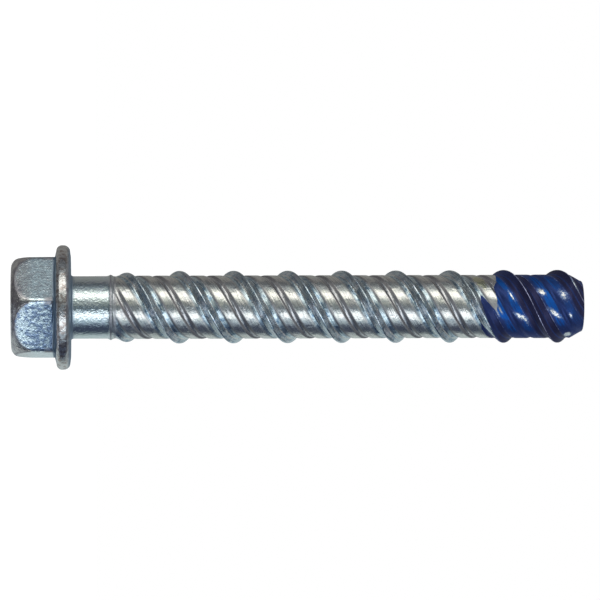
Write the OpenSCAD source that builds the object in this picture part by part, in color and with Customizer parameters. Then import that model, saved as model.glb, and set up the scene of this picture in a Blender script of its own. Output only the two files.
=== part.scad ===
// Concrete screw anchor, cold forged and thread rolled from one steel bar.
// It stands on the end of its hexagon head: the bar runs up +Z, and z = 0 is the head's end face.
// All sizes are in millimetres.

/* [Head] */
// Width of the hexagon across its flats, for a 9/16 in wrench
hex_af = 14.2; // [13:0.1:15.5]
// How far the hexagon's sharp corners are broken
corner_break = 0.09; // [0.04:0.01:0.3]
// Diameter of the flat end of the head
end_d = 11.9; // [10:0.1:12.5]
// Length of the dome that runs from the flat end out to the corners
dome_h = 3.7; // [1.5:0.1:5]
// Distance from the flat end to the face that bears on the fixture
head_h = 8.85; // [8.6:0.05:12]

/* [Washer] */
// Outer diameter of the washer forged with the head
washer_d = 18.5; // [17.8:0.1:24]
// Thickness of the washer at its rim
rim_t = 2.05; // [1.8:0.05:2.5]
// Radius of the rim's edge on the hexagon's side
rim_top_r = 0.8; // [0.4:0.05:0.85]
// Radius of the rim's edge on the bearing side
rim_seat_r = 0.95; // [0.4:0.05:0.95]
// How much the washer rises from its rim to the hexagon
washer_rise = 0.55; // [0.2:0.05:1]
// How far the rim lies back from the bearing face
rim_relief = 0.1; // [0.02:0.01:0.2]
// Outer diameter of the flat ring that bears on the fixture
seat_d = 15.2; // [13:0.1:15.6]

/* [Shank] */
// Length from the bearing face to the tip
anchor_len = 76.2; // [50:0.1:150]
// Diameter of the plain shank under the washer
shank_d = 9.3; // [8.6:0.05:9.4]
// Radius of the fillet where the shank leaves the washer
shank_fillet = 0.4; // [0.2:0.05:0.8]
// Distance from the bearing face to the collar where the rolling starts
plain_len = 5.9; // [3:0.1:20]
// Diameter of the collar that the rolling dies push up
collar_d = 9.72; // [9.6:0.01:10]
// Length of the collar's slope on each side of its crest
collar_slope = 0.75; // [0.4:0.05:1]

/* [Thread] */
// Advance of one thread in a full turn
lead = 16.11; // [13.5:0.01:20]
// Number of high threads that run side by side
starts = 2; // [1:1:2]
// Diameter over the crests
major_d = 10.8; // [10:0.05:12]
// Diameter of the smooth lands between the threads
land_d = 9.42; // [9.3:0.01:9.5]
// Width of the flat on the crest
crest_w = 0.2; // [0.1:0.05:0.4]
// Height over the land at which both flanks start to round into the root
waist_h = 0.24; // [0.1:0.01:0.4]
// Distance from the crest to that height on the flank that faces the head
head_waist = 0.6; // [0.3:0.02:0.8]
// Distance from the crest to that height on the flank that faces the tip
tip_waist = 0.48; // [0.3:0.02:0.7]
// Depth under the land of the two hollows beside the thread
hollow_depth = 0.1; // [0.02:0.01:0.2]
// Distance from the crest to the hollow on the head's side
head_hollow = 1.2; // [0.9:0.05:1.4]
// Distance from the crest to the hollow on the tip's side
tip_hollow = 0.92; // [0.8:0.02:1.4]
// Width of each hollow's floor
hollow_floor_w = 0.44; // [0.1:0.02:0.7]
// Width of the slope that rises from each hollow to the land
hollow_slope_w = 0.19; // [0.05:0.01:0.3]
// Length over which the thread grows to its full height at the collar
run_in = 5.5; // [1:0.5:12]

/* [Groove] */
// Width of the groove rolled midway between the threads, at the land
groove_w = 1.24; // [0.8:0.02:1.8]
// Width of the groove's floor
groove_floor_w = 0.36; // [0.1:0.02:0.7]
// Depth of the groove under the land
groove_depth = 0.26; // [0.05:0.01:0.4]
// Length over which the groove reaches its depth at the collar
groove_run_in = 0.8; // [0.2:0.1:3]

/* [Tip] */
// Length of the tip's chamfer
chamfer_len = 1.65; // [0.5:0.05:3]
// Diameter at the end of the chamfer
chamfer_d = 7.6; // [5:0.1:8.5]
// Radius that rounds the chamfer into the end face
tip_edge = 0.32; // [0.1:0.01:0.6]
// Length of the tip dipped in blue lacquer
dip_len = 13.1; // [4:0.1:40]

/* [Hidden] */
$fn = 96;

zinc = [0.72, 0.75, 0.77];
lacquer = [0.06, 0.12, 0.42];

corner_r = hex_af / 2 / cos(30) - corner_break;
rim_z = head_h - rim_relief - rim_t;
// The washer's cone starts this far inside the flats, so that the two solids cross cleanly
cone_inset = 0.4;
// The hexagon reaches this far into the washer
hex_bite = 0.5;

collar_z = head_h + plain_len;
tip_z = head_h + anchor_len;
chamfer_z = tip_z - tip_edge - chamfer_len;
dip_z = tip_z - dip_len;

pitch = lead / starts;
crest_h = (major_d - land_d) / 2;
// The rings of the threaded length stand this far apart at most
ring_step = 0.6;
// The lands are cut into flats no wider than this along the axis
land_step = 0.6;
// Distances from the crest to the land on the head's side and on the tip's side
head_land = head_hollow + hollow_floor_w + hollow_slope_w;
tip_land = tip_hollow + hollow_floor_w + hollow_slope_w;
// Where one crest line would meet the head's end face, counted from +X
crest_turn = 168.8;
// Steps in each rounded stretch of an outline
arc_steps = 8;
// How deep the threaded length's first ring and the collar's stub sink into each other
overlap = 0.35;

// Points on a quarter ellipse round a centre, from one angle to another
function arc(c, rx, rz, from, to) =
    [for (i = [0 : arc_steps]) let (a = from + (to - from) * i / arc_steps)
        [c[0] + rx * cos(a), c[1] + rz * sin(a)]];

// Half of the hexagon's domed blank: flat end, quarter ellipse, straight side
function dome_outline() = concat(
    [[0, 0]],
    arc([end_d / 2, dome_h], corner_r - end_d / 2, dome_h, -90, 0),
    [[corner_r, rim_z + hex_bite], [0, rim_z + hex_bite]]
);

// Half section of the washer, from the cone beside the hexagon round the rim to the bearing face
function washer_outline() = concat(
    [[hex_af / 2 - cone_inset, rim_z - washer_rise]],
    arc([washer_d / 2 - rim_top_r, rim_z + rim_top_r], rim_top_r, rim_top_r, -90, 0),
    arc([washer_d / 2 - rim_seat_r, rim_z + rim_t - rim_seat_r], rim_seat_r, rim_seat_r, 0, 90),
    [[seat_d / 2, head_h]]
);

// Half section of the plain shank: root fillet, straight side, collar, and a stub inside the thread
function shank_outline() = concat(
    arc([shank_d / 2 + shank_fillet, head_h + shank_fillet], shank_fillet, shank_fillet, 270, 180),
    [
        [shank_d / 2, collar_z - collar_slope],
        [collar_d / 2, collar_z],
        [land_d / 2 - overlap, collar_z + collar_slope]
    ]
);

// Growth of the thread from nothing at the collar to full height, fast at first
function thread_grown(z) = let (t = max(0, min(1, (z - collar_z) / run_in))) t * (2 - t);

// Growth of the cuts under the land
function groove_grown(z) = max(0, min(1, (z - collar_z) / groove_run_in));

// Both fade out over the chamfer, to a round end face
function tip_left(z) = max(0, min(1, (tip_z - z) / (chamfer_len + tip_edge)));

// Radius of the land, with the chamfer and the rounded end edge
function land_r(z) =
    z <= collar_z ? land_d / 2 - overlap :
    z <= chamfer_z ? land_d / 2 :
    z <= tip_z - tip_edge ?
        land_d / 2 + (chamfer_d - land_d) / 2 * (z - chamfer_z) / chamfer_len :
        chamfer_d / 2 - tip_edge + sqrt(max(0, pow(tip_edge, 2) - pow(z - tip_z + tip_edge, 2)));

// One flank of the thread and the hollow at its root: distance from the crest and height over the
// land. The flank that faces the head is the flatter one.
function flank(waist, hollow) = [
    [crest_w / 2, crest_h],
    [waist, waist_h],
    [hollow, -hollow_depth],
    [hollow + hollow_floor_w, -hollow_depth],
    [hollow + hollow_floor_w + hollow_slope_w, 0]
];

// Points strictly between two offsets on a land
function land_points(from, to) = let (n = ceil((to - from) / land_step))
    [for (i = [1 : 1 : n - 1]) [from + (to - from) * i / n, 0]];

// One start of the rolled form: thread, land, groove and land, as long as the pitch
function rolled_form() = let (
    to_head = flank(head_waist, head_hollow),
    to_tip = flank(tip_waist, tip_hollow),
    middle = pitch / 2
) concat(
    [for (i = [len(to_head) - 1 : -1 : 0]) [-to_head[i][0], to_head[i][1]]],
    to_tip,
    land_points(tip_land, middle - groove_w / 2),
    [
        [middle - groove_w / 2, 0],
        [middle - groove_floor_w / 2, -groove_depth],
        [middle + groove_floor_w / 2, -groove_depth],
        [middle + groove_w / 2, 0]
    ],
    land_points(middle + groove_w / 2, pitch - head_land)
);

// Every point of one ring, as the angle that it lags behind the crest and its height over the land
function ring_form() = [for (s = [0 : starts - 1]) for (p = rolled_form())
    [360 * (s * pitch + p[0]) / lead, p[1]]];

// Heights of evenly spaced rings from one end of a stretch to the other
function ring_heights(from, to, step) = let (n = ceil((to - from) / step))
    [for (i = [0 : n]) from + (to - from) * i / n];

// The right-hand rolled bar between the given heights. Each ring is the one below turned on by
// the lead, so that crests and grooves run along the helix without steps.
module rolled_bar(heights) {
    form = ring_form();
    n = len(form);
    points = [for (z = heights) for (p = form)
        let (
            a = crest_turn + 360 * z / lead - p[0],
            grown = (p[1] > 0 ? thread_grown(z) : groove_grown(z)) * tip_left(z),
            r = land_r(z) + p[1] * grown
        )
        [r * cos(a), r * sin(a), z]];
    last = (len(heights) - 1) * n;
    sides = [for (k = [0 : n : last - n]) for (i = [0 : n - 1])
        let (j = (i + 1) % n)
        for (face = [[k + i, k + j, k + n + j], [k + i, k + n + j, k + n + i]]) face];
    ends = [[for (i = [n - 1 : -1 : 0]) i], [for (i = [0 : n - 1]) last + i]];
    polyhedron(points, concat(ends, sides));
}

// Hexagon whose corners are domed off towards the flat end
module hex() {
    intersection() {
        rotate(30) cylinder(d = hex_af / cos(30), h = rim_z + hex_bite, $fn = 6);
        rotate_extrude() polygon(dome_outline());
    }
}

// Washer, fillet, plain shank and collar, turned about the bar's axis
module washer_and_shank() {
    rotate_extrude() polygon(concat(
        [[0, rim_z - washer_rise]],
        washer_outline(),
        shank_outline(),
        [[0, collar_z + collar_slope]]
    ));
}

// Bare part of the threaded length, from inside the collar to the edge of the lacquer
module bare_thread() {
    rolled_bar(concat([collar_z - overlap], ring_heights(collar_z + overlap, dip_z, ring_step)));
}

// Lacquered part of the threaded length, with the chamfered tip
module dipped_tip() {
    rolled_bar(concat(
        ring_heights(dip_z, chamfer_z, ring_step),
        [for (i = [1 : 3]) chamfer_z + chamfer_len * i / 3],
        [for (a = [30, 60, 90]) tip_z - tip_edge * (1 - sin(a))]
    ));
}

module anchor() {
    color(zinc) hex();
    color(zinc) washer_and_shank();
    color(zinc) bare_thread();
    color(lacquer) dipped_tip();
}

anchor();
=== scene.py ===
import math

import bpy
import numpy as np
from mathutils import Matrix, Vector


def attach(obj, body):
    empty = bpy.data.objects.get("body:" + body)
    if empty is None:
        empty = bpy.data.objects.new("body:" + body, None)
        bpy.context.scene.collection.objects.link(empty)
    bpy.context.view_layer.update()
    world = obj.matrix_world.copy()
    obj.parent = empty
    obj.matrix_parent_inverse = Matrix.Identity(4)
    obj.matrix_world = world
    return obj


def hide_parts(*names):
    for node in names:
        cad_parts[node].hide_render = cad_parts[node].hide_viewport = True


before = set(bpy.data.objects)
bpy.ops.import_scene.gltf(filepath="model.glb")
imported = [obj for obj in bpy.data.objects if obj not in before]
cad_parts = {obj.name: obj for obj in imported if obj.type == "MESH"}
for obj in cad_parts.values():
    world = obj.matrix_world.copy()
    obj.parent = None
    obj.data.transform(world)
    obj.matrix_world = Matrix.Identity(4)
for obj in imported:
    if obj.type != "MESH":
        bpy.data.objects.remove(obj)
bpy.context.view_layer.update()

# Camera. The anchor is looked at from its side, square to its axis, and it lies level in the
# picture, head on the left. So the camera is turned on its side here, where the bar stands up.
MM = 0.001
CAMERA_AZIMUTH = 7.0
CAMERA_DISTANCE = 630 * MM
CAMERA_Z = 15.0 * MM
PICTURE_WIDTH = 89.35 * MM
PICTURE_CENTRE_Z = 42.91 * MM
AXIS_BELOW_CENTRE = 1.03 * MM
AXIS_TILT = 0.14
SENSOR = 36.0


def round_bar(psi, distance=1.0, z=0.0):
    """Point at an angle psi round the bar, counted from the camera up over the bar, in degrees."""
    turn = math.radians(CAMERA_AZIMUTH - 90 - psi)
    return Vector((distance * math.cos(turn), distance * math.sin(turn), z))


picture_up = round_bar(90)
along_bar = Vector((0, 0, 1))
aim = along_bar * PICTURE_CENTRE_Z + picture_up * AXIS_BELOW_CENTRE
stand = round_bar(0, CAMERA_DISTANCE, CAMERA_Z) + picture_up * AXIS_BELOW_CENTRE
line_of_sight = (stand - aim).normalized()
tilt = math.radians(AXIS_TILT)
level_right = picture_up.cross(line_of_sight)
picture_right = level_right * math.cos(tilt) - picture_up * math.sin(tilt)

camera_data = bpy.data.cameras.new("camera")
camera_data.sensor_width = SENSOR
camera_data.lens = SENSOR * (stand - aim).length / PICTURE_WIDTH
camera_data.clip_start = 10 * MM
camera_data.clip_end = 20.0
camera = bpy.data.objects.new("camera", camera_data)
bpy.context.collection.objects.link(camera)
camera.matrix_world = Matrix.Translation(stand) @ Matrix(
    (picture_right, line_of_sight.cross(picture_right), line_of_sight)
).transposed().to_4x4()
bpy.context.scene.camera = camera
bpy.context.scene.view_settings.view_transform = "Standard"


# Studio: a white floor, a white room, two tall soft boxes in front of the bar, and plain cards all
# round it and across both ends. Bright plating shows what stands round it, so the cards are what
# gives it its grey and blue bands. They light nothing and throw no shadow.
LAMP_DISTANCE = 0.7
LAMP_HEIGHT = 1.4
LAMP_RADIANCE = 1.4
# Lamps and cards: the angle round the bar where each starts, the angle where it ends, its colour
LAMPS = {
    "upper_soft_box": (33.3, 57.2, (1.0, 0.98, 0.93)),
    "lower_soft_box": (-40.7, -20.8, (0.98, 1.0, 1.0)),
}
CARD_DISTANCE = 1.0
CARD_REACH = 1.05
CARD_STEP = 4.0
HEAD_END_OF_STUDIO = PICTURE_CENTRE_Z - CARD_REACH
TIP_END_OF_STUDIO = PICTURE_CENTRE_Z + CARD_REACH
CARDS = (
    (126, 180, (0.265, 0.275, 0.27)),
    (106, 126, (0.235, 0.235, 0.235)),
    (84, 106, (0.10, 0.11, 0.125)),
    (79, 84, (0.15, 0.18, 0.21)),
    (66, 79, (0.33, 0.375, 0.40)),
    (22, 66, (0.50, 0.56, 0.54)),
    (9, 22, (0.35, 0.38, 0.37)),
    (4, 9, (0.20, 0.23, 0.24)),
    (-10, 4, (0.10, 0.13, 0.16)),
    (-15, -10, (0.20, 0.26, 0.31)),
    (-62, -15, (0.46, 0.58, 0.67)),
    (-68, -62, (0.22, 0.28, 0.36)),
    (-110, -68, (0.055, 0.07, 0.11)),
    (-120, -110, (0.22, 0.28, 0.30)),
    (-180, -120, (0.53, 0.61, 0.62)),
)
HEAD_END_CARDS = (
    (110, 180, (0.125, 0.13, 0.135)),
    (46, 110, (0.18, 0.185, 0.19)),
    (-24, 46, (0.14, 0.15, 0.155)),
    (-80, -24, (0.15, 0.17, 0.19)),
    (-116, -80, (0.74, 0.82, 0.92)),
    (-180, -116, (0.12, 0.14, 0.17)),
)
TIP_END_CARDS = (
    (148, 180, (0.32, 0.315, 0.31)),
    (106, 148, (0.29, 0.305, 0.315)),
    (66, 106, (0.19, 0.20, 0.215)),
    (-10, 66, (0.25, 0.27, 0.30)),
    (-94, -10, (0.085, 0.095, 0.115)),
    (-134, -94, (0.42, 0.46, 0.48)),
    (-180, -134, (0.17, 0.18, 0.19)),
)
FLOOR_SIZE = 6.0
FLOOR_GLOW = 0.86
FLOOR_COLOUR = (0.5, 0.5, 0.5, 1)
ROOM_LIGHT = 0.45
WHITE = (1, 1, 1, 1)


class Value:
    """A socket on its way through a node tree, on which plain arithmetic adds Math nodes."""

    def __init__(self, paint, socket):
        self.paint = paint
        self.socket = socket

    def math(self, operation, *values, clamp=False):
        settings = {"operation": operation, "use_clamp": clamp}
        return self.paint.node("ShaderNodeMath", settings, dict(enumerate(values)))

    def __add__(self, other):
        return self.math("ADD", self, other)

    __radd__ = __add__

    def __mul__(self, other):
        return self.math("MULTIPLY", self, other)

    __rmul__ = __mul__

    def __sub__(self, other):
        return self.math("SUBTRACT", self, other)

    def __rsub__(self, other):
        return self.math("SUBTRACT", other, self)

    def held(self):
        """The value, kept between 0 and 1."""
        return self.math("ADD", self, 0.0, clamp=True)

    def step(self, low, high):
        """0 below low, 1 above high, and smooth between them."""
        settings = {"interpolation_type": "SMOOTHSTEP"}
        return self.paint.node("ShaderNodeMapRange", settings, {0: self, 1: low, 2: high})


class Paint:
    """The node tree of one material or of the world, which starts empty."""

    def __init__(self, owner):
        owner.use_nodes = True
        self.tree = owner.node_tree
        self.tree.nodes.clear()

    def node(self, kind, settings=(), sockets=(), outlet=0):
        """Adds a node, makes its settings, fills its sockets and gives back one of its outlets."""
        made = self.tree.nodes.new(kind)
        for name, setting in dict(settings).items():
            setattr(made, name, setting)
        for name, content in dict(sockets).items():
            if isinstance(content, Value):
                self.tree.links.new(content.socket, made.inputs[name])
            else:
                made.inputs[name].default_value = content
        return Value(self, made.outputs[outlet]) if len(made.outputs) else made

    def blend(self, share, colour, other):
        """A colour that goes from the first to the other as the share goes from 0 to 1."""
        return self.node(
            "ShaderNodeMix", {"data_type": "RGBA"}, {0: share, 6: colour, 7: other}, outlet=2
        )

    def seen_or_mirrored(self):
        """1 for a ray from the camera, off a glossy surface or through glass, 0 for the rest."""
        kinds = ("Is Camera Ray", "Is Glossy Ray", "Is Transmission Ray")
        seen, mirrored, through = (self.node("ShaderNodeLightPath", outlet=kind) for kind in kinds)
        return (seen + mirrored + through).held()


def link_mesh(name, points, faces, material=None):
    """A new object with its place in its mesh."""
    mesh = bpy.data.meshes.new(name)
    mesh.from_pydata(points, [], faces)
    made = bpy.data.objects.new(name, mesh)
    bpy.context.collection.objects.link(made)
    if material:
        mesh.materials.append(material)
    return made


def light_up_floor():
    """White where it is seen, apart from the share that a shadow takes away."""
    material = bpy.data.materials.new("floor_white")
    paint = Paint(material)
    glow = paint.node("ShaderNodeEmission", {}, {"Color": WHITE, "Strength": FLOOR_GLOW})
    matt = paint.node("ShaderNodeBsdfDiffuse", {}, {"Color": FLOOR_COLOUR})
    both = paint.node("ShaderNodeAddShader", {}, {0: glow, 1: matt})
    look = paint.node("ShaderNodeMixShader", {}, {0: paint.seen_or_mirrored(), 1: matt, 2: both})
    paint.node("ShaderNodeOutputMaterial", {}, {"Surface": look})
    return material


half_floor = FLOOR_SIZE / 2
floor = link_mesh(
    "floor",
    [(x * half_floor, y * half_floor, 0) for x, y in ((-1, -1), (1, -1), (1, 1), (-1, 1))],
    [(0, 1, 2, 3)],
    light_up_floor(),
)
# The bar hangs free of any floor in the picture, so its plating shows no floor either
floor.visible_glossy = False

world = bpy.data.worlds.new("white_room")
bpy.context.scene.world = world
world.cycles.sampling_method = "NONE"
room = Paint(world)
room_light = ROOM_LIGHT + (1 - ROOM_LIGHT) * room.seen_or_mirrored()
sky = room.node("ShaderNodeBackground", {}, {"Color": WHITE, "Strength": room_light})
room.node("ShaderNodeOutputWorld", {}, {"Surface": sky})

for lamp_name, (start, end, lamp_colour) in LAMPS.items():
    lamp_data = bpy.data.lights.new(lamp_name, "AREA")
    lamp_data.shape = "RECTANGLE"
    lamp_data.size = 2 * LAMP_DISTANCE * math.tan(math.radians((end - start) / 2))
    lamp_data.size_y = LAMP_HEIGHT
    lamp_data.color = lamp_colour
    lamp_data.energy = LAMP_RADIANCE * math.pi * lamp_data.size * lamp_data.size_y
    lamp = bpy.data.objects.new(lamp_name, lamp_data)
    lamp.location = round_bar((start + end) / 2, LAMP_DISTANCE, PICTURE_CENTRE_Z)
    away = Vector((lamp.location.x, lamp.location.y, 0))
    lamp.rotation_euler = away.to_track_quat("Z", "Y").to_euler()
    bpy.context.collection.objects.link(lamp)


def put_up_card(name, points, faces, colour):
    """A card that only glossy surfaces see."""
    material = bpy.data.materials.new(name)
    paint = Paint(material)
    glow = paint.node("ShaderNodeEmission", {}, {"Color": (*colour, 1), "Strength": 1.0})
    paint.node("ShaderNodeOutputMaterial", {}, {"Surface": glow})
    card = link_mesh(name, points, faces, material)
    card.visible_camera = False
    card.visible_diffuse = False
    card.visible_transmission = False
    card.visible_shadow = False


def card_edge(start, end, z):
    """Points along a card's edge, which follows a circle round the bar."""
    steps = math.ceil((end - start) / CARD_STEP)
    turns = [start + (end - start) * i / steps for i in range(steps + 1)]
    return [round_bar(turn, CARD_DISTANCE, z) for turn in turns]


def put_up_side_card(name, start, end, colour):
    """A card bent round the bar, as long as the studio."""
    low, high = (card_edge(start, end, z) for z in (HEAD_END_OF_STUDIO, TIP_END_OF_STUDIO))
    count = len(low)
    strips = [(i, i + 1, count + i + 1, count + i) for i in range(count - 1)]
    put_up_card(name, low + high, strips, colour)


def put_up_end_card(name, z, start, end, colour):
    """A slice of the disc that closes one end of the studio."""
    slice_points = [round_bar(0, 0, z)] + card_edge(start, end, z)
    put_up_card(name, slice_points, [tuple(range(len(slice_points)))], colour)


for number, card in enumerate(CARDS):
    put_up_side_card(f"card_{number}", *card)
for number, card in enumerate(HEAD_END_CARDS):
    put_up_end_card(f"card_at_head_{number}", HEAD_END_OF_STUDIO, *card)
for number, card in enumerate(TIP_END_CARDS):
    put_up_end_card(f"card_at_tip_{number}", TIP_END_OF_STUDIO, *card)


# The anchor: one steel bar, with its hexagon and washer forged on, its thread and grooves rolled
# in, its skin bright zinc and its tip dipped in blue lacquer. It is one closed skin, because the
# real one has no joint anywhere. Sizes are in millimetres, from the head's end face at z = 0.
HEX_FLATS = 14.2
HEX_CORNER_RADIUS = 0.85
END_RADIUS = 11.9 / 2
DOME_HEIGHT = 3.7
DOME_RADIUS = 8.10
DOME_FLARE = 0.3
DOME_BORDER = 0.05
HEAD_HEIGHT = 8.85

WASHER_RADIUS = 18.5 / 2
RIM_TOP_RADIUS = 0.8
RIM_SEAT_RADIUS = 0.95
RIM_END_Z = HEAD_HEIGHT - 0.1
RIM_Z = RIM_END_Z - 2.05
CONE_ROOT = (6.7, RIM_Z - 0.4)
HEX_ROOT_FILLET = 0.16
SEAT_RADIUS = 15.2 / 2

SHANK_RADIUS = 9.3 / 2
SHANK_FILLET = 0.4
COLLAR_Z = HEAD_HEIGHT + 5.9
COLLAR_START = COLLAR_Z - 0.75
COLLAR_RISE = 0.18
COLLAR_HOLLOW = 0.05
COLLAR_HALF_WIDTH = 0.29
COLLAR_HOLLOW_Z = COLLAR_Z + 1.9 * COLLAR_HALF_WIDTH
LAND_START = COLLAR_Z + 1.5

LEAD = 16.11
STARTS = 2
PITCH = LEAD / STARTS
CREST_TURN = 168.8
LAND_RADIUS = 9.42 / 2
RUN_IN = 5.5
GROOVE_START = COLLAR_Z + 0.35
GROOVE_RUN_IN = 0.9
# The rolled form: how far from the crest along the bar, towards the head if negative, and how high
# over the land
ROLLED_FORM = np.array((
    (-PITCH / 2, -0.27), (0.06 - PITCH / 2, -0.27), (0.62 - PITCH / 2, 0.0),
    (-1.90, 0.0), (-1.70, -0.07), (-1.14, -0.14), (-0.90, 0.05), (-0.60, 0.24), (-0.30, 0.49),
    (-0.13, 0.69), (0.09, 0.69), (0.27, 0.47), (0.52, 0.20), (0.77, -0.02), (0.88, -0.10),
    (1.58, -0.14), (1.86, 0.0), (PITCH / 2 - 0.60, 0.0), (PITCH / 2 - 0.24, -0.27),
    (PITCH / 2, -0.27),
))
FORM_ROUNDING = 0.05
HOLLOW_DEPTH = 0.1

TIP_Z = HEAD_HEIGHT + 76.2
TIP_EDGE = 0.32
CHAMFER_END_Z = TIP_Z - TIP_EDGE
CHAMFER_Z = CHAMFER_END_Z - 1.65
CHAMFER_RADIUS = 7.6 / 2
FADE_END_Z = TIP_Z - 0.1
FADE_LENGTH = 1.3

DIP_Z = TIP_Z - 13.1
LACQUER = 0.035
LACQUER_IN_HOLLOWS = 0.05
LACQUER_EDGE = 0.12

# The skin is woven from columns, which run from the end face to the tip, and rows across them
COLUMNS = 192
END_FACE_ROWS = 5
DOME_ROWS = 14
FLAT_ROWS = 18
ROOT_ROWS = 6
CONE_ROWS = 4
RIM_ROWS = 10
SEAT_ROWS = 7
FILLET_ROWS = 6
SHANK_ROWS = 15
ROW_STEP = 0.25
FINE_ROW_STEP = 0.07
CHAMFER_ROWS = 10
TIP_EDGE_ROWS = 6
TIP_FACE_ROWS = 4
# How the columns crowd together on the rolled form, and at the hexagon's corners
FORM_PLACES = 4001
EVEN_CROWDING = 0.35
BEND_CROWDING = 0.5
SHARPEST_BEND = 3
CROWDING_BLUR = 81
CORNERS = 6
CORNER_CROWDING = 0.2
columns = np.arange(COLUMNS)


def rolled_height(u):
    """Height over the land at a distance u along the bar from the nearest crest: straight lines
    between the points of the rolled form, rounded by a mean over five places close together, in
    which the middle one counts three times and its neighbours twice."""
    places = np.linspace(-1, 1, 5)
    weights = np.array((1, 2, 3, 2, 1)) / 9
    return sum(
        weight * np.interp(u + place * FORM_ROUNDING, *ROLLED_FORM.T)
        for place, weight in zip(places, weights)
    )


def to_nearest_crest(behind):
    """Distance from the nearest crest, for a distance behind the crest of the first start."""
    return (behind + PITCH / 2) % PITCH - PITCH / 2


def thread_columns():
    """Where each column stands on the rolled form, as its distance along the bar behind the crest
    of its start. Columns crowd together where the form is steep or bends, and one runs on each
    crest: each has the same share of the crowding summed up from crest to crest."""
    places = np.linspace(0, PITCH, FORM_PLACES)
    slope = np.gradient(rolled_height(to_nearest_crest(places)), places)
    bend = np.abs(np.gradient(slope, places))
    crowding = EVEN_CROWDING + np.abs(slope) + BEND_CROWDING * np.minimum(bend, SHARPEST_BEND)
    crowding = np.convolve(crowding, np.ones(CROWDING_BLUR) / CROWDING_BLUR, mode="same")
    share = np.cumsum(crowding)
    share = (share - share[0]) / (share[-1] - share[0])
    per_start = COLUMNS // STARTS
    in_one_start = np.interp(np.arange(per_start) / per_start, share, places)
    return np.concatenate([start * PITCH + in_one_start for start in range(STARTS)])


behind_crest = thread_columns()
from_crest = to_nearest_crest(behind_crest)


def thread_turn(z):
    """Angle of every column at the heights z, in degrees: a full turn for each lead, less the
    column's own lag behind the crest."""
    return CREST_TURN + 360 * (z - behind_crest) / LEAD


# The head's columns are numbered so that each runs straight on into its column of the thread. They
# crowd together at the six corners: away from a corner the angle grows partly evenly, and mostly
# with the third power of the number of columns.
sector = 360 / CORNERS
per_sector = COLUMNS // CORNERS
mean_start = CREST_TURN + 360 * COLLAR_START / LEAD
first_corner = sector * round((mean_start - sector / 2) / sector) + sector / 2
corner_column = round((first_corner - mean_start) * COLUMNS / -360)
corner_number = np.round((columns - corner_column) / per_sector)
off_corner = 2 * (columns - corner_column) / per_sector - 2 * corner_number
even_turn = first_corner - 360 * (columns - corner_column) / COLUMNS
crowded = CORNER_CROWDING * off_corner + (1 - CORNER_CROWDING) * off_corner**3
head_turn = first_corner - sector * corner_number - sector / 2 * crowded


def hexagon(turn):
    """Distance from the axis to the hexagon's side, where a corner is an arc that the two flats
    run into: the arc's centre lies on the corner's line."""
    flat = HEX_FLATS / 2
    off = np.radians((turn % sector) - sector / 2)
    centre = (flat - HEX_CORNER_RADIUS) / math.cos(math.radians(sector / 2))
    inside = np.maximum(HEX_CORNER_RADIUS**2 - (centre * np.sin(off)) ** 2, 0)
    arc = centre * np.cos(off) + np.sqrt(inside)
    side = flat / np.cos(np.radians(sector / 2) - np.abs(off))
    tangent = math.atan2(
        HEX_CORNER_RADIUS * math.sin(math.radians(sector / 2)),
        centre + HEX_CORNER_RADIUS * math.cos(math.radians(sector / 2)),
    )
    return np.where(np.abs(off) < tangent, arc, side)


def even_steps(count, last=1.0):
    """One row for each of so many even steps from 0 to the last, without the 0."""
    return np.linspace(0, last, count + 1)[1:, None]


def arc_rows(count, centre, radius, start, end):
    """Rows on a quarter circle round a centre (distance from axis, z), angles in degrees."""
    turn = np.radians(np.linspace(start, end, count + 1))[:, None]
    return centre[0] + radius * np.cos(turn), centre[1] + radius * np.sin(turn)


rows = []


def add_rows(turn, radius, z):
    """Adds a stretch of the skin: arrays of rows by columns, or what spreads out to them."""
    stretch = np.broadcast_arrays(turn, radius, z, np.zeros((1, COLUMNS)))[:3]
    rows.append(np.stack(stretch))


# End face, and the dome that cuts the hexagon's corners off: a quarter ellipse turned about the
# axis. The border where it meets a flat is rounded a little, so the radius there is slightly less
# than the smaller of the two.
side = hexagon(head_turn)
add_rows(head_turn, even_steps(END_FACE_ROWS) * END_RADIUS, 0.0)
rim_start = WASHER_RADIUS - RIM_TOP_RADIUS
cone_slope = (RIM_Z - CONE_ROOT[1]) / (rim_start - CONE_ROOT[0])
root_z = CONE_ROOT[1] + cone_slope * (side - CONE_ROOT[0])
dome_width = DOME_RADIUS - END_RADIUS
border_lean = np.arcsin(np.minimum((side - END_RADIUS) / dome_width, 1))
border_z = DOME_HEIGHT * (1 - np.cos(border_lean))
dome_lean = np.sin(even_steps(DOME_ROWS, math.pi / 2)) * border_lean
dome_z = DOME_HEIGHT * (1 - np.cos(dome_lean))
down = (1 - np.cos(even_steps(FLAT_ROWS, math.pi))) / 2
flat_z = border_z + (root_z - HEX_ROOT_FILLET - border_z) * down
head_z = np.concatenate([dome_z, flat_z])
under_dome = np.maximum(1 - head_z / DOME_HEIGHT, 0)
dome = END_RADIUS + dome_width * np.sqrt(1 - under_dome**2)
dome += DOME_FLARE * np.maximum(head_z - DOME_HEIGHT, 0)
head_radius = -DOME_BORDER * np.log(np.exp(-side / DOME_BORDER) + np.exp(-dome / DOME_BORDER))
add_rows(head_turn, head_radius, head_z)

# Root of the hexagon on the washer's cone, then the cone, along which the columns spread evenly
t = even_steps(ROOT_ROWS)
add_rows(
    head_turn,
    side + HEX_ROOT_FILLET * t**2,
    root_z - HEX_ROOT_FILLET * (1 - t) ** 2 + cone_slope * HEX_ROOT_FILLET * t**2,
)
t = even_steps(CONE_ROWS + 1)[:-1]
cone_r = (side + HEX_ROOT_FILLET) * (1 - t) + rim_start * t
cone_z = RIM_Z + cone_slope * (cone_r - rim_start)
add_rows(head_turn * (1 - t) + even_turn * t, cone_r, cone_z)

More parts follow.
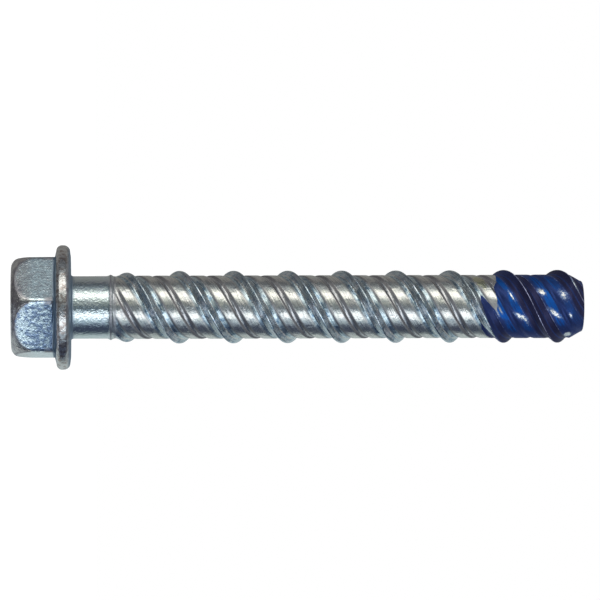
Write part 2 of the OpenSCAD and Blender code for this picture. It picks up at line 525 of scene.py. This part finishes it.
# Rim, bearing face, and the fillet under the head
rim_top = (rim_start, RIM_Z + RIM_TOP_RADIUS)
rim_bottom = (WASHER_RADIUS - RIM_SEAT_RADIUS, RIM_END_Z - RIM_SEAT_RADIUS)
add_rows(even_turn, *arc_rows(RIM_ROWS, rim_top, RIM_TOP_RADIUS, -90, 0))
add_rows(even_turn, *arc_rows(RIM_ROWS, rim_bottom, RIM_SEAT_RADIUS, 0, 90))
fillet_centre = (SHANK_RADIUS + SHANK_FILLET, HEAD_HEIGHT + SHANK_FILLET)
add_rows(even_turn, np.linspace(SEAT_RADIUS, fillet_centre[0], SEAT_ROWS)[:, None], HEAD_HEIGHT)
fillet_r, fillet_z = arc_rows(FILLET_ROWS, fillet_centre, SHANK_FILLET, 270, 180)
add_rows(even_turn, fillet_r[1:], fillet_z[1:])

# Plain shank, along which the columns shift over to those of the thread
t = even_steps(SHANK_ROWS)
shank_z = fillet_centre[1] * (1 - t) + COLLAR_START * t
add_rows(even_turn * (1 - t) + thread_turn(COLLAR_START) * t, SHANK_RADIUS, shank_z)
head_row_count = sum(stretch.shape[1] for stretch in rows)

# Collar, thread and chamfered tip: rings that turn on by the lead. Their radius is the outline's,
# rounded by a mean over three places close together, and on it lie the rolled form, which grows
# past the collar and fades at the tip, and the lacquer.
bar_outline = np.array((
    (COLLAR_START, SHANK_RADIUS), (LAND_START, LAND_RADIUS), (CHAMFER_Z, LAND_RADIUS),
    (CHAMFER_END_Z, CHAMFER_RADIUS),
))


def hump(distance, width):
    """1 at no distance, falling off smoothly over the width."""
    return np.exp(-((distance / width) ** 2))


collar_z = np.arange(COLLAR_START, LAND_START, FINE_ROW_STEP)[1:]
rolled_z = np.linspace(LAND_START, CHAMFER_Z, round((CHAMFER_Z - LAND_START) / ROW_STEP) + 1)
chamfer_z = np.linspace(CHAMFER_Z, CHAMFER_END_Z, CHAMFER_ROWS + 1)[1:]
edge_turn = np.radians(np.linspace(0, 90, TIP_EDGE_ROWS + 1))[1:]
edge_z = CHAMFER_END_Z + TIP_EDGE * np.sin(edge_turn)
bar_z = np.concatenate([collar_z, rolled_z, chamfer_z, edge_z])[:, None]
offsets = (-FINE_ROW_STEP, 0, FINE_ROW_STEP)
outline_r = sum(np.interp(bar_z + offset, *bar_outline.T) for offset in offsets) / len(offsets)
outline_r += COLLAR_RISE * hump(bar_z - COLLAR_Z, COLLAR_HALF_WIDTH)
outline_r -= COLLAR_HOLLOW * hump(bar_z - COLLAR_HOLLOW_Z, COLLAR_HALF_WIDTH)
edge_r = CHAMFER_RADIUS - TIP_EDGE * (1 - np.cos(edge_turn))
outline_r[-len(edge_r):, 0] = edge_r
into_thread = np.clip((bar_z - COLLAR_Z) / RUN_IN, 0, 1)
thread_grown = into_thread * (2 - into_thread)
groove_grown = np.clip((bar_z - GROOVE_START) / GROOVE_RUN_IN, 0, 1)
tip_left = np.clip((FADE_END_Z - bar_z) / FADE_LENGTH, 0, 1)
height = rolled_height(from_crest)[None, :]
relief = height * np.where(height > 0, thread_grown, groove_grown) * tip_left

# The lacquer runs further up in the hollows beside the thread and in the groove: how far, at
# distances from the crest, towards the head if negative
RUN_UP = np.array((
    (-PITCH / 2, 0.45), (-3.5, 0.2), (-3.2, 0), (-1.9, 0), (-1.6, 2.2), (-1.1, 2.4), (-0.8, 1.5),
    (-0.3, 0.2), (0.05, 0.2), (0.25, 1.7), (0.6, 2.4), (1.1, 2.5), (1.45, 2.1), (1.76, 1.1),
    (2.17, 0.1), (2.6, 0), (3.2, 0), (3.5, 0.2), (PITCH / 2, 0.45),
))
u = from_crest[None, :]
run_up = np.interp(u, *RUN_UP.T)
past_edge = bar_z - DIP_Z + run_up
coated = np.clip(past_edge / LACQUER_EDGE, 0, 1)
hollow = np.clip(-height / HOLLOW_DEPTH, 0, 1)
coat = coated * (LACQUER + LACQUER_IN_HOLLOWS * hollow) * tip_left
add_rows(thread_turn(bar_z), outline_r + relief + coat, bar_z)

# Round end face
end_r = (CHAMFER_RADIUS - TIP_EDGE) * (1 - even_steps(TIP_FACE_ROWS + 1)[:-1])
add_rows(thread_turn(TIP_Z), end_r, TIP_Z)


def close_skin(name, turn, radius, z):
    """One closed skin from rows of points, with a pole at each end. The faces between two rows are
    split along their short diagonal, which runs along with the thread."""
    angle = np.radians(turn)
    ring_points = np.stack([radius * np.cos(angle), radius * np.sin(angle), z], axis=-1)
    points = np.concatenate([ring_points.reshape(-1, 3), [(0, 0, 0), (0, 0, z[-1, 0])]]) * MM
    row_count = len(z)
    here = np.arange(row_count * COLUMNS).reshape(row_count, COLUMNS)
    beside = np.roll(here, -1, axis=1)
    low, low_beside, high, high_beside = here[:-1], beside[:-1], here[1:], beside[1:]
    upper = np.stack([low, high, high_beside], axis=-1).reshape(-1, 3)
    lower = np.stack([low, high_beside, low_beside], axis=-1).reshape(-1, 3)
    head_pole, tip_pole = row_count * COLUMNS, row_count * COLUMNS + 1
    head_fan = np.stack([here[0], beside[0], np.full(COLUMNS, head_pole)], axis=-1)
    tip_fan = np.stack([beside[-1], here[-1], np.full(COLUMNS, tip_pole)], axis=-1)
    faces = np.concatenate([head_fan, lower, upper, tip_fan])
    skin = link_mesh(name, points.tolist(), faces.tolist())
    skin.data.polygons.foreach_set("use_smooth", np.ones(len(faces), dtype=bool))
    return skin


turn, radius, z = np.concatenate(rows, axis=1)
anchor = close_skin("screw_anchor", turn, radius, z)


def add_attribute(piece, name, values, poles=(0, 0)):
    """Stores a number for each point: rows by columns, and one for each pole."""
    whole = np.append(np.broadcast_to(values, z.shape).ravel(), poles)
    stored = piece.data.attributes.new(name, "FLOAT", "POINT")
    stored.data.foreach_set("value", whole.astype(np.float32))


def on_bar(values, elsewhere=0.0):
    """Values for the rolled rows, and one value on the head, the plain shank and the end face."""
    whole = np.full(z.shape, float(elsewhere))
    whole[head_row_count:head_row_count + len(bar_z)] = values
    return whole


def between(values, low, high):
    """0 below low, 1 above high, and straight between them."""
    return np.clip((values - low) / (high - low), 0, 1)


def humps(distance, marks):
    """The highest of several humps, each with its place, its width and its height."""
    return np.max([tall * hump(distance - place, width) for place, width, tall in marks], axis=0)


# What the finish follows on the bar. Distances are from the crest or from the groove's middle, and
# a pair of them says where something starts to come in and where it is whole.
LIP = PITCH / 2 - 0.70
RIDGES = (
    (0, 0.10, 1.0), (1.80, 0.11, 0.7), (-2.0, 0.11, 0.7), (LIP, 0.08, 0.68), (-LIP, 0.08, 0.68),
)
STEPS = ((1.78, 0.22, 0.95), (-1.75, 0.20, 0.5))
FAR_FROM_THREAD = (2.4, 2.5)
LAND_FROM_THREAD = (1.9, 2.1)
LAND_FROM_GROOVE = (0.5, 0.62)
THREAD_MIDDLE = -0.1
WALL_TOP = (0.60, 0.72)
WALL_FOOT_ON_HEAD_SIDE = (0.26, 0.34)
WALL_FOOT_ON_TIP_SIDE = (0.12, 0.20)
GROOVE_FLOOR_DEPTH = (0.2, 0.26)
RAISED_HEIGHT = (0.0, 0.15)
CREST_WIDTH = 0.17
NOWHERE_NEAR_LACQUER = -20
beside_groove = PITCH / 2 - np.abs(u)

# Distance past the lacquer's edge, and the ridges where the lacquer draws back
past = on_bar(past_edge, NOWHERE_NEAR_LACQUER)
past[head_row_count + len(bar_z):] = TIP_Z - DIP_Z
add_attribute(anchor, "past_edge", past, (NOWHERE_NEAR_LACQUER, TIP_Z - DIP_Z))
add_attribute(anchor, "ridge", on_bar(humps(u, RIDGES) * between(thread_grown, 0, 0.5)))

# The hollows beside the thread, the groove's walls with the steps at the hollows' far edges, and
# the groove's floor
near_thread = 1 - between(np.abs(u), *FAR_FROM_THREAD)
add_attribute(anchor, "hollow", on_bar(hollow * groove_grown * near_thread))
above_foot = np.where(
    u > 0,
    between(beside_groove, *WALL_FOOT_ON_HEAD_SIDE),
    between(beside_groove, *WALL_FOOT_ON_TIP_SIDE),
)
on_wall = (1 - between(beside_groove, *WALL_TOP)) * above_foot
add_attribute(anchor, "groove", on_bar(np.maximum(on_wall, humps(u, STEPS)) * groove_grown))
add_attribute(anchor, "groove_floor", on_bar(between(-height, *GROOVE_FLOOR_DEPTH) * groove_grown))

# The raised thread and its crest, the length that the dies have rolled, and the distance behind
# the crest, along which fine streaks are drawn out
add_attribute(anchor, "raised", on_bar(between(height * thread_grown, *RAISED_HEIGHT)))
add_attribute(anchor, "crest", on_bar(hump(u, CREST_WIDTH) * thread_grown))
add_attribute(anchor, "rolled", on_bar(between(bar_z, COLLAR_Z, COLLAR_Z + 1)))
add_attribute(anchor, "behind_crest", on_bar(behind_crest))

# Marks on the finish, as long spots: angle round the bar, height, half length, half width, and
# slant from the bar's direction. The far side has the same spots again. Where the lacquer lies
# thin or has worn off, a second number says how much. One spot at the tip's edge is a painted
# glint. A dull stain and a yellow one lie on the bare zinc, two darker spots lie by the collar,
# one spot is painted shade in the dome's hollow at the head's end, and just before the lacquer it
# is scuffed.
HELIX_SLANT = 61
THIN_SPOTS = (
    ((-135.0, 72.6, 2.2, 0.85, HELIX_SLANT), 0.75),
    ((-88.8, 74.8, 2.5, 0.95, HELIX_SLANT), 1.0),
    ((-46.0, 76.7, 1.6, 0.85, HELIX_SLANT), 0.4),
    ((-84.0, 72.4, 2.8, 1.0, HELIX_SLANT), 1.0),
    ((-45.0, 74.2, 1.6, 0.85, HELIX_SLANT), 0.55),
    ((-133.0, 78.0, 1.9, 0.85, HELIX_SLANT), 0.6),
    ((-93.7, 80.0, 2.2, 0.95, HELIX_SLANT), 1.0),
    ((-57.0, 81.4, 1.3, 0.75, HELIX_SLANT), 0.8),
    ((-133.0, 80.3, 2.1, 0.85, HELIX_SLANT), 0.45),
    ((-70.0, 83.2, 2.6, 1.1, HELIX_SLANT), 0.2),
)
WORN_SPOTS = (
    ((-110.2, 78.6, 0.62, 0.34, 40), 0.95),
    ((-104.3, 81.8, 1.10, 0.65, HELIX_SLANT), 0.45),
    ((-70.5, 80.5, 1.00, 0.27, 35), 1.0),
    ((-64.0, 75.5, 0.90, 0.30, 30), 0.95),
    ((-66.0, 82.9, 0.38, 0.15, HELIX_SLANT), 1.0),
    ((-102.4, 74.1, 0.80, 0.12, HELIX_SLANT), 1.0),
    ((-78.0, 72.35, 0.80, 0.13, HELIX_SLANT), 0.9),
    ((-71.8, 72.0, 0.55, 0.11, HELIX_SLANT), 1.0),
    ((-56.0, 76.3, 0.70, 0.14, HELIX_SLANT), 0.8),
    ((-122.0, 83.6, 0.90, 0.13, HELIX_SLANT), 0.95),
)
# A painted glint: a near-white patch at the tip's edge
PAINTED_GLINT_SPOT = (-21.0, 82.6, 0.70, 0.95, 25)
# Stain spots: a dull stain before the lacquer, two darker spots by the collar, and painted shade
# in the dome's hollow
STAINS_AND_SHADE = (
    (-140.0, 69.9, 2.3, 1.5, HELIX_SLANT),
    (-56.0, 14.9, 1.1, 0.9, HELIX_SLANT),
    (-74.0, 16.9, 1.3, 0.9, HELIX_SLANT),
    (-103.0, 1.1, 1.3, 0.9, 90),
)
YELLOW_STAIN = (-136.0, 69.5, 1.9, 0.85, HELIX_SLANT)
SCUFF = (-80.0, 71.6, 1.9, 1.1, HELIX_SLANT)


def spot_depth(spot):
    """1 in the middle of a spot, 0 at its edge and negative outside, down to -1: 1 less the
    distance from the middle, measured in half lengths and half widths of the spot."""
    spot_turn, spot_z, half_length, half_width, slant = spot
    around = LAND_RADIUS * np.radians((turn - spot_turn + 90) % 180 - 90)
    along = z - spot_z
    slant = math.radians(slant)
    lengthways = along * math.cos(slant) + around * math.sin(slant)
    crossways = around * math.cos(slant) - along * math.sin(slant)
    return np.maximum(1 - np.hypot(lengthways / half_length, crossways / half_width), -1)


THIN_RAMP = (0, 0.3)
PAINTED_GLINT_RAMP = (0, 0.8)
SCUFF_RAMP = (0, 0.5)
SCUFF_SHARE = 0.6
from_thread = np.abs(u - THREAD_MIDDLE)
on_land = between(from_thread, *LAND_FROM_THREAD) * between(beside_groove, *LAND_FROM_GROOVE)
thin_shares = [share * between(spot_depth(spot), *THIN_RAMP) for spot, share in THIN_SPOTS]
worn_depths = [np.maximum(spot_depth(spot) + wear - 1, -1) for spot, wear in WORN_SPOTS]
stain_and_shade_depths = [spot_depth(spot) for spot in STAINS_AND_SHADE]
add_attribute(anchor, "thin", np.max(thin_shares, axis=0) * on_bar(on_land))
add_attribute(anchor, "worn", np.max(worn_depths, axis=0), (-1, -1))
add_attribute(anchor, "painted_glint", between(spot_depth(PAINTED_GLINT_SPOT), *PAINTED_GLINT_RAMP))
add_attribute(anchor, "stain_and_shade", np.max(stain_and_shade_depths, axis=0), (-1, -1))
add_attribute(anchor, "yellow_stain", spot_depth(YELLOW_STAIN), (-1, -1))
scuff = SCUFF_SHARE * between(spot_depth(SCUFF), *SCUFF_RAMP) * on_bar(1)

# What the finish follows on the head, in pairs of distances from the axis or heights between which
# it comes in: the forged head, the washer's rim, the inner corners at the hexagon's root and under
# the washer's rim, which get painted shade, the dome, and the half of the head towards its end
SEAT_Z = (HEAD_HEIGHT - 0.2, HEAD_HEIGHT)
RIM_RADIUS = (8.3, 8.7)
ROOT_Z = (CONE_ROOT[1] - HEX_ROOT_FILLET, CONE_ROOT[1])
UNDER_RIM_Z = (RIM_END_Z - 0.5, RIM_END_Z)
PAST_SEAT_Z = (HEAD_HEIGHT + 0.2, HEAD_HEIGHT + 0.5)
DOME_FROM_RADIUS = (5.6, 5.9)
END_HALF_Z = (1.2, 3.4)
forged = 1 - between(z, *SEAT_Z)
rim = between(radius, *RIM_RADIUS) * forged
root = between(z, *ROOT_Z) * forged * (1 - rim)
under_rim = between(z, *UNDER_RIM_Z) * (1 - between(z, *PAST_SEAT_Z))
past_border = between(z, border_z - 0.15, border_z + 0.05)
on_dome = forged * (1 - past_border) * between(radius, *DOME_FROM_RADIUS)
add_attribute(anchor, "forged", forged, (1, 0))
add_attribute(anchor, "rim", rim)
add_attribute(anchor, "shaded_corner", np.maximum(root, under_rim))
add_attribute(anchor, "dome", on_dome)
add_attribute(anchor, "head_end", forged * (1 - between(z, *END_HALF_Z)), (1, 0))

# Every other flat has a coarser grain and leans a little, more so towards the washer
FLAT_LEAN = 0.0075
FLAT_TWIST = 0.022
END_OF_LEAN_Z = (CONE_ROOT[1] - 0.2, CONE_ROOT[1] + 0.1)
flat_number = np.round(turn / sector)
off_flat = np.clip(turn - sector * flat_number, -sector / 2, sector / 2)
across = HEX_FLATS / 2 * np.tan(np.radians(off_flat))
every_other = flat_number % 2
slope = FLAT_LEAN + FLAT_TWIST * np.minimum(z, CONE_ROOT[1])
leaning = every_other * (1 - between(z, *END_OF_LEAN_Z))
add_attribute(anchor, "coarse", every_other * forged * (1 - rim) * (1 - root) * (1 - on_dome))
add_attribute(anchor, "lean", -across * slope * leaning)

# Scuffed: the dome's border away from the corners, the corners near the washer, the collar and the
# steps beside it, and the spot before the lacquer
BORDER_WIDTH = 0.3
CORNER_BORDER_Z = (2.4, 2.9)
BRUISE_ACROSS = (3.3, 3.6)
BRUISE_Z = (4.7, 5.3)
COLLAR_SCUFFS = ((0, 0.16, 1.0), (0.6, 0.14, 0.8), (0.3, 0.30, 0.4))
border = hump(z - border_z, BORDER_WIDTH) * forged * (1 - between(border_z, *CORNER_BORDER_Z))
near_corner = between(np.abs(across), *BRUISE_ACROSS)
bruised = near_corner * between(z, *BRUISE_Z) * forged * (1 - rim)
collar = humps(z - COLLAR_Z, COLLAR_SCUFFS) * (1 - forged)
add_attribute(anchor, "scuffed", np.max([border, bruised, collar, scuff], axis=0))

# Bright zinc, mottled: cool in the hollows, warm on the lands, brown where the plating is thin.
# Over it at the tip lies blue lacquer, bright where it is thin, nearly black where it is thick.
ZINC = (0.74, 0.765, 0.78, 1)
COOL_ZINC = (0.60, 0.71, 0.74, 1)
BRIGHT_ZINC = (0.80, 0.91, 0.96, 1)
WARM_ZINC = (0.79, 0.755, 0.69, 1)
STRAW_ZINC = (0.78, 0.76, 0.62, 1)
LILAC_ZINC = (0.72, 0.68, 0.75, 1)
GREEN_ZINC = (0.46, 0.585, 0.66, 1)
DULL_ZINC = (0.47, 0.43, 0.42, 1)
DARK_ZINC = (0.21, 0.32, 0.44, 1)
SLATE_ZINC = (0.22, 0.27, 0.33, 1)
# Painted shade on the groove's walls and at the steps beside the hollows, and on its floor
GROOVE_WALL_SHADE_ZINC = (0.34, 0.32, 0.33, 1)
GROOVE_FLOOR_SHADE_ZINC = (0.54, 0.525, 0.535, 1)
BROWN_ZINC = (0.66, 0.635, 0.625, 1)
RUST_ZINC = (0.42, 0.36, 0.34, 1)
FROST_ZINC = (0.20, 0.28, 0.46, 1)
# Painted shade in the inner corners
SHADED_CORNER_ZINC = (0.26, 0.33, 0.42, 1)
DOME_ZINC = (0.61, 0.585, 0.58, 1)
DUSKY_ZINC = (0.40, 0.37, 0.40, 1)
STAINED_ZINC = (0.70, 0.68, 0.34, 1)
THIN_BLUE = (0.018, 0.14, 0.54, 1)
THICK_BLUE = (0.031, 0.056, 0.20, 1)
DEEP_BLUE = (0.034, 0.030, 0.075, 1)
RUBBED_BLUE = (0.26, 0.36, 0.58, 1)
BARE_RIDGE = (0.62, 0.66, 0.95, 1)
GLANCING_BLUE = (0.25, 0.3, 0.5, 1)
# Colour of the painted glint
PAINTED_GLINT_COLOUR = (0.80, 0.93, 0.96, 1)


def zinc_and_lacquer():
    """One material for the whole skin: plated steel, and over it the lacquer, where it covers."""
    material = bpy.data.materials.new("zinc_and_lacquer")
    paint = Paint(material)
    place = paint.node("ShaderNodeTexCoord", outlet="Object")

    def mottle(size, detail=2.0, roughness=0.5, moved=(0, 0, 0)):
        """Cloudy noise between 0 and 1 whose clouds are about size millimetres wide."""
        there = paint.node(
            "ShaderNodeVectorMath", {"operation": "ADD"}, {0: place, 1: [m * MM for m in moved]}
        )
        sockets = {"Vector": there, "Scale": 1 / (size * MM), "Detail": detail}
        return paint.node("ShaderNodeTexNoise", {}, sockets | {"Roughness": roughness})

    def follow(name):
        """The attribute of the skin with that name."""
        return paint.node("ShaderNodeAttribute", {"attribute_name": name}, outlet="Fac")

    def streaks(width, length):
        """Noise between 0 and 1 drawn out along the thread, width and length in millimetres."""
        along = paint.node("ShaderNodeSeparateXYZ", {}, {0: place}, outlet=2)
        sockets = {0: follow("behind_crest") * (1 / width), 1: along * (1 / (length * MM))}
        there = paint.node("ShaderNodeCombineXYZ", {}, sockets)
        return paint.node("ShaderNodeTexNoise", {}, {"Vector": there, "Scale": 1.0, "Detail": 2.0})

    # Noise, from wide clouds down to fine grain, and streaks that the dies have drawn out
    clouds = mottle(2.2)
    waves = mottle(1.6, detail=1.0)
    tint = mottle(1.3, detail=3.0, moved=(7, 0, 0))
    blotch = mottle(0.7, roughness=0.6, moved=(0, 0, 9))
    grit = mottle(0.52, detail=3.0, roughness=0.68, moved=(3, 0, 0))
    grain = mottle(0.36, roughness=0.6)
    fine = mottle(0.17, detail=1.0)
    drawn = streaks(0.22, 3.0)
    rubbed_steel = streaks(0.2, 1.3)
    off_grain = grain - 0.5

    # Where it lies, with ragged edges to the hollows, to the raised thread and to the lacquer
    ragged = blotch * 0.5 + grain - 0.75
    hollows = (follow("hollow") * 1.5 + ragged * 0.9 - 0.25).held()
    raised = (follow("raised") * 1.4 + ragged * 0.9 - 0.2).held()
    pinched = hollows + raised * 0.8
    groove = follow("groove")
    rolled = follow("rolled")
    forged = follow("forged")
    coarse = follow("coarse")
    shaded_corner = follow("shaded_corner")
    head_end = follow("head_end")
    rim = follow("rim")
    scuffed = follow("scuffed")
    lacquered = (follow("past_edge") + off_grain * 0.25).step(-0.03, 0.05)

    # Zinc's faint colours, then what the dies have left of them on the thread, and shade painted
    # in the groove
    zinc = paint.blend(((clouds - 0.25) * 1.2).held(), ZINC, WARM_ZINC)
    zinc = paint.blend((tint - 0.5).step(0.04, 0.16) * 0.6, zinc, STRAW_ZINC)
    zinc = paint.blend((0.5 - tint).step(0.02, 0.14) * 0.7, zinc, LILAC_ZINC)
    zinc = paint.blend((raised * 0.6 + (tint - 0.55) * 2).held() * 0.8, zinc, GREEN_ZINC)
    zinc = paint.blend((rolled - raised - hollows).held() * 0.6, zinc, WARM_ZINC)
    zinc = paint.blend((1 - rolled - forged).held() * 0.5, zinc, COOL_ZINC)
    zinc = paint.blend(rolled * drawn.step(0.50, 0.60) * 0.5, zinc, DULL_ZINC)
    dusk = (grain * 0.6 + blotch * 0.4).step(0.52, 0.64)
    zinc = paint.blend(rolled * dusk * 0.4, zinc, DUSKY_ZINC)
    zinc = paint.blend((hollows * 0.8 + (blotch - 0.5)).held(), zinc, COOL_ZINC)
    zinc = paint.blend((hollows + raised * 0.7) * blotch.step(0.46, 0.66), zinc, DARK_ZINC)
    zinc = paint.blend(pinched * rubbed_steel.step(0.50, 0.56) * 0.7, zinc, SLATE_ZINC)
    zinc = paint.blend(pinched * drawn.step(0.54, 0.60) * 0.55, zinc, BRIGHT_ZINC)
    # Painted shade on the groove's walls, at the steps beside the hollows, and on the groove's
    # floor
    zinc = paint.blend(groove, zinc, GROOVE_WALL_SHADE_ZINC)
    zinc = paint.blend(follow("groove_floor"), zinc, GROOVE_FLOOR_SHADE_ZINC)

    # The head: bright flats, a duller end with bright specks, frost on every other flat, a brown
    # rim, a dull dome, painted shade in the inner corners, and stains, darker spots and a spot of
    # painted shade
    zinc = paint.blend(forged * (1 - head_end * (1 - coarse)) * 0.9, zinc, BRIGHT_ZINC)
    zinc = paint.blend(head_end * (1 - coarse) * (0.3 + blotch), zinc, DOME_ZINC)
    dusk = (grit + blotch - 0.5).step(0.42, 0.62)
    zinc = paint.blend(forged * (1 - coarse) * dusk * 0.4, zinc, DUSKY_ZINC)
    specks = (head_end + 0.15) * (1 - coarse) * (fine * 0.5 + grit * 0.5).step(0.52, 0.58)
    zinc = paint.blend(specks * forged * 0.7, zinc, BRIGHT_ZINC)
    zinc = paint.blend(scuffed * 0.85, zinc, DUSKY_ZINC)
    zinc = paint.blend(rim, zinc, paint.blend(blotch.step(0.47, 0.58), BROWN_ZINC, RUST_ZINC))
    frosted = coarse * (grit * 0.5 + blotch * 0.5 - head_end * 0.08).step(0.42, 0.53)
    zinc = paint.blend(frosted * 0.78, zinc, FROST_ZINC)
    dome_colour = paint.blend(blotch.step(0.4, 0.6), DOME_ZINC, DUSKY_ZINC)
    zinc = paint.blend(follow("dome"), zinc, dome_colour)
    # Painted shade in the inner corners, at the hexagon's root and under the washer's rim
    zinc = paint.blend(shaded_corner, zinc, SHADED_CORNER_ZINC)
    # Dull stains, darker spots, and painted shade in the dome's hollow
    stain_and_shade = (follow("stain_and_shade") + off_grain).step(0.0, 0.5)
    zinc = paint.blend(stain_and_shade * 0.5, zinc, DUSKY_ZINC)
    yellow = (follow("yellow_stain") + off_grain).step(0.0, 0.4)
    zinc = paint.blend(yellow * 0.5, zinc, STAINED_ZINC)

    zinc_roughness = 0.08 + 0.09 * mottle(0.8) + 0.05 * forged + 0.4 * shaded_corner + 0.3 * scuffed
    zinc_roughness = zinc_roughness + 0.15 * rolled + 0.3 * groove + 0.05 * rim
    zinc_roughness = zinc_roughness - 0.1 * follow("crest")

    # Lacquer: thick and dark, thin and bright in blotches on the lands, deepest in the hollows,
    # rubbed lighter blue where it is worn through, with a near-white painted glint at the tip's
    # edge, and drawn back from the ridges
    thin = (follow("thin") + off_grain * 0.5).held()
    blue = paint.blend((thin * (blotch * 2 + drawn * 5 - 2.6)).held(), THICK_BLUE, THIN_BLUE)
    far_in = (follow("past_edge") + clouds * 6).step(3, 8)
    deep = (hollows + raised).held() * (0.2 + 0.8 * far_in)
    blue = paint.blend(deep * 0.85, blue, DEEP_BLUE)
    rubbed = (follow("worn") + off_grain * 1.4 + (fine - 0.5)).step(-0.75, 0.1)
    blue = paint.blend(rubbed * 0.8, blue, RUBBED_BLUE)
    # A painted glint: a near-white, not metallic patch at the tip's edge
    painted_glint = (follow("painted_glint") * (grain * 3 + fine * 3 - 1.4)).step(0.2, 1.0)
    blue = paint.blend(painted_glint, blue, PAINTED_GLINT_COLOUR)
    drawn_back = (follow("ridge") * (grain + blotch + clouds - 0.5) - 0.5).step(0.0, 0.5)
    blue = paint.blend(drawn_back * 0.7, blue, BARE_RIDGE)
    worn_through = (follow("worn") + (fine - 0.5) + off_grain * 1.2).step(0.0, 0.25)

    # How high all this stands, in millimetres. The lacquer fills most of it.
    coarseness = 0.055 - 0.035 * rolled - 0.015 * hollows - 0.015 * forged
    stands = grain * coarseness + grit * (coarse * 0.09 + head_end * 0.06)
    stands = stands + fine * (0.024 - 0.016 * rolled) + waves * (0.02 + 0.03 * rolled)
    stands = stands + blotch * hollows * 0.03
    stands = stands + drawn * rolled * (0.01 + 0.05 * clouds.step(0.48, 0.6))
    stands = stands + rubbed_steel * pinched * 0.03
    leaning = stands + follow("lean")
    zinc_bump = paint.node("ShaderNodeBump", {}, {"Distance": MM, "Height": leaning})
    blue_bump = paint.node("ShaderNodeBump", {}, {"Distance": MM, "Height": stands * 0.15})

    zinc_skin = paint.node(
        "ShaderNodeBsdfPrincipled",
        {},
        {"Base Color": zinc, "Roughness": zinc_roughness, "Metallic": 1.0, "Normal": zinc_bump},
    )
    lacquer_skin = paint.node(
        "ShaderNodeBsdfPrincipled",
        {},
        {
            "Base Color": blue,
            "Roughness": 0.40 + 0.2 * thin - 0.2 * drawn_back,
            "Metallic": (0.4 + 0.6 * thin) * (1 - painted_glint),
            "Specular IOR Level": 0.5,
            "Specular Tint": GLANCING_BLUE,
            "Normal": blue_bump,
        },
    )
    covered = lacquered * (1 - worn_through)
    skin = paint.node("ShaderNodeMixShader", {}, {0: covered, 1: zinc_skin, 2: lacquer_skin})
    paint.node("ShaderNodeOutputMaterial", {}, {"Surface": skin})
    return material


anchor.data.materials.append(zinc_and_lacquer())
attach(anchor, "root")
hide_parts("anchor")

bpy.context.view_layer.update()
